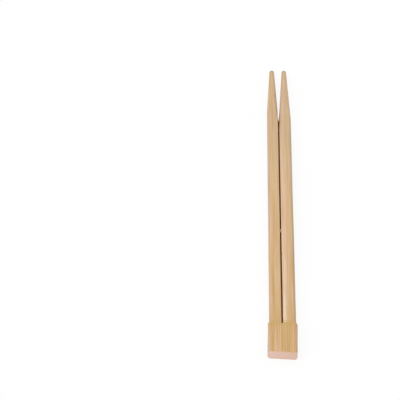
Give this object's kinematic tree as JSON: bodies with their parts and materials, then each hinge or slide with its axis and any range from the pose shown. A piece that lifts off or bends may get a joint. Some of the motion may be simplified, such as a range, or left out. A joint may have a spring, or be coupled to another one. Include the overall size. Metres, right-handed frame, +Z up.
{
  "type": "bamboo chopsticks",
  "caption": "Disposable bamboo chopsticks still joined at a thick sawn head, parted by a saw cut along the shank, with rounded edges and tapered round tips for picking up food.",
  "frame": {"origin": "under the middle of the pair's length and width, in the plane of the head's underside", "axes": "+Y along the sticks towards the tips, +X across the pair to the right stick, +Z up through its thickness"},
  "size_m": [0.0141, 0.21, 0.0054],
  "materials": {
    "bamboo": "bare bamboo, planed and lightly polished, with fine lengthwise fibres"
  },
  "bodies": {
    "root": {"chopstick_pair": "bamboo"}
  },
  "joints": []
}
